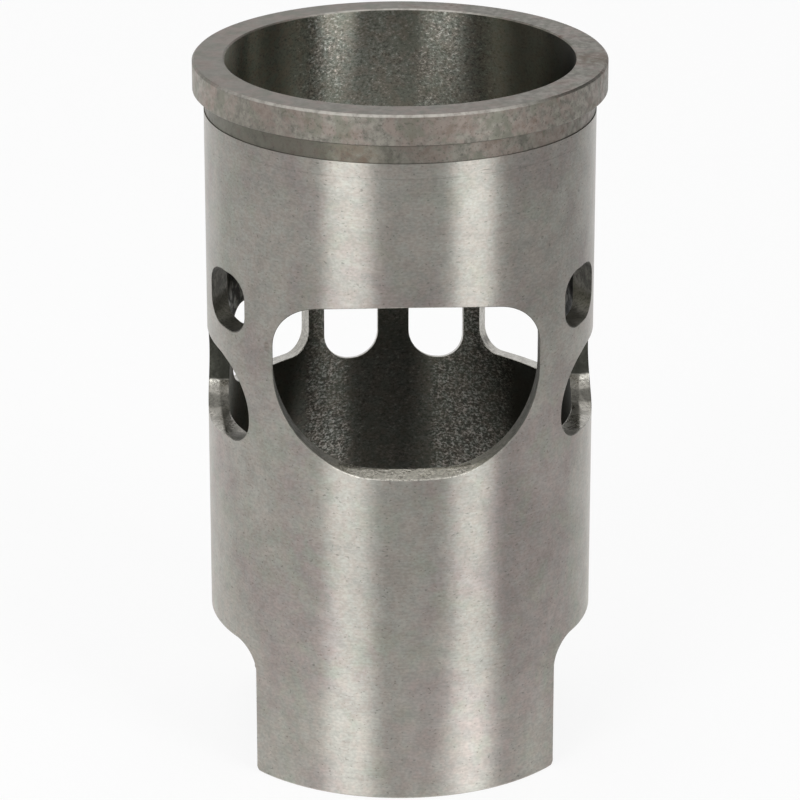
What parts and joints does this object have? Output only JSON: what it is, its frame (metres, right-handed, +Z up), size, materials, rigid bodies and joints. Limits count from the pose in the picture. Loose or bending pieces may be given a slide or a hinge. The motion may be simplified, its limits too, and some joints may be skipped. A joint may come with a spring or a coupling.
{
  "type": "cylinder liner",
  "caption": "Cast-iron cylinder liner for a two-stroke engine, with a top flange, a wide exhaust port, side ports round the wall and a cut-away skirt.",
  "frame": {"origin": "centre of the plane of the skirt ends, on the bore axis", "axes": "+Z up along the bore axis towards the flange, -Y towards the large exhaust port"},
  "size_m": [0.0792, 0.0792, 0.1382],
  "materials": {
    "ground_cast_iron": "turned and ground, satin grey, with a rougher turned flange and an unhoned bore"
  },
  "bodies": {
    "root": {"cylinder_liner": "ground_cast_iron"}
  },
  "joints": []
}
